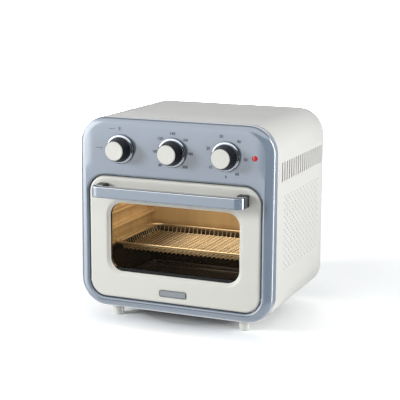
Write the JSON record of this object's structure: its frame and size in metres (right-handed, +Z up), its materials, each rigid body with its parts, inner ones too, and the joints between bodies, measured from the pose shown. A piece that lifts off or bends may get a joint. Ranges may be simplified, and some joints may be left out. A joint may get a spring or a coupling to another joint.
{
  "type": "air fryer oven",
  "caption": "Countertop air fryer oven with a rounded steel body, a drop-down windowed door with a bar handle, control knobs above it, and a fan and heating coil over the cavity.",
  "frame": {"origin": "centre of the bounding box's underside, where the feet stand", "axes": "+X to the viewer's right seen from the front, +Y from the door to the back, +Z up"},
  "size_m": [0.32, 0.28, 0.318],
  "materials": {
    "bezel_paint": "smooth semi-gloss blue-grey lacquer",
    "body_paint": "smooth semi-gloss cream enamel on sheet steel",
    "cream_moulding": "semi-gloss cream moulding",
    "plating": "polished plating",
    "knob_black": "polished near-black moulding",
    "black_plastic": "matte black moulding",
    "door_glass": "lightly brown tinted toughened glass",
    "badge_metal": "satin blue-grey lacquer, left bare",
    "pilot_lens": "clear red lens",
    "cavity_steel": "bright steel with a warm tint",
    "zinc_steel": "plain zinc-coated sheet and bar",
    "basket_wire": "bright plated steel",
    "tray_enamel": "dark non-stick enamel",
    "coil_steel": "dull oxidised tube",
    "motor_steel": "plain grey motor can"
  },
  "bodies": {
    "cabinet": {"front_bezel": "bezel_paint", "outer_wrap": "body_paint", "base_plate": "zinc_steel", "rear_panel": "body_paint", "cord_bushing": "black_plastic", "foot_front_left": "cream_moulding", "foot_front_right": "cream_moulding", "foot_rear_left": "cream_moulding", "foot_rear_right": "cream_moulding", "chassis_plate": "zinc_steel", "cavity_left_wall": "cavity_steel", "cavity_right_wall": "cavity_steel", "cavity_floor": "cavity_steel", "cavity_back": "cavity_steel", "cavity_roof": "cavity_steel", "hinge_plate_left": "zinc_steel", "hinge_plate_right": "zinc_steel", "mode_switch": "black_plastic", "thermostat": "black_plastic", "timer_mechanism": "black_plastic", "pilot_lens": "pilot_lens", "pilot_holder": "black_plastic", "fan_housing": "zinc_steel", "fan_motor": "motor_steel", "motor_bracket": "zinc_steel", "heating_coil": "coil_steel", "coil_guard": "cavity_steel", "crumb_tray": "tray_enamel"},
    "door": {"door_frame": "cream_moulding", "door_glass": "door_glass", "door_liner": "cavity_steel", "badge_plate": "badge_metal", "hinge_pin_left": "zinc_steel", "hinge_pin_right": "zinc_steel", "handle_bar": "plating", "handle_inlay": "bezel_paint", "handle_spacer_left": "black_plastic", "handle_spacer_right": "black_plastic"},
    "mode_knob": {"mode_knob_skirt": "plating", "mode_knob_grip": "knob_black", "mode_knob_cap": "cream_moulding", "mode_shaft": "zinc_steel"},
    "temperature_knob": {"temperature_knob_skirt": "plating", "temperature_knob_grip": "knob_black", "temperature_knob_cap": "cream_moulding", "temperature_shaft": "zinc_steel"},
    "timer_knob": {"timer_knob_skirt": "plating", "timer_knob_grip": "knob_black", "timer_knob_cap": "cream_moulding", "timer_shaft": "zinc_steel"},
    "fan": {"fan_impeller": "zinc_steel", "fan_shaft": "zinc_steel", "cooling_fan": "black_plastic"},
    "basket": {"fry_basket": "basket_wire"}
  },
  "joints": [
    {"name": "door_hinge", "type": "hinge", "parent": "cabinet", "child": "door", "pos_m": [0, -0.1012, 0.058], "axis": [1, 0, 0], "range_deg": [0, 90]},
    {"name": "mode_turn", "type": "hinge", "parent": "cabinet", "child": "mode_knob", "pos_m": [-0.0863, -0.107, 0.2708], "axis": [0, 1, 0], "range_deg": [-90, 90]},
    {"name": "temperature_turn", "type": "hinge", "parent": "cabinet", "child": "temperature_knob", "pos_m": [0, -0.107, 0.2708], "axis": [0, 1, 0], "range_deg": [0, 270]},
    {"name": "timer_turn", "type": "hinge", "parent": "cabinet", "child": "timer_knob", "pos_m": [0.0863, -0.107, 0.2708], "axis": [0, 1, 0], "range_deg": [0, 330]},
    {"name": "fan_spin", "type": "hinge", "parent": "cabinet", "child": "fan", "pos_m": [0, 0.015, 0.24], "axis": [0, 0, 1], "continuous": true},
    {"name": "basket_slide", "type": "slide", "parent": "cabinet", "child": "basket", "axis": [0, -1, 0], "range_m": [0, 0.0865]}
  ],
  "couplings": [
    {"joint": "basket_slide", "follows": "door_hinge", "m_per_rad": 0.055}
  ]
}
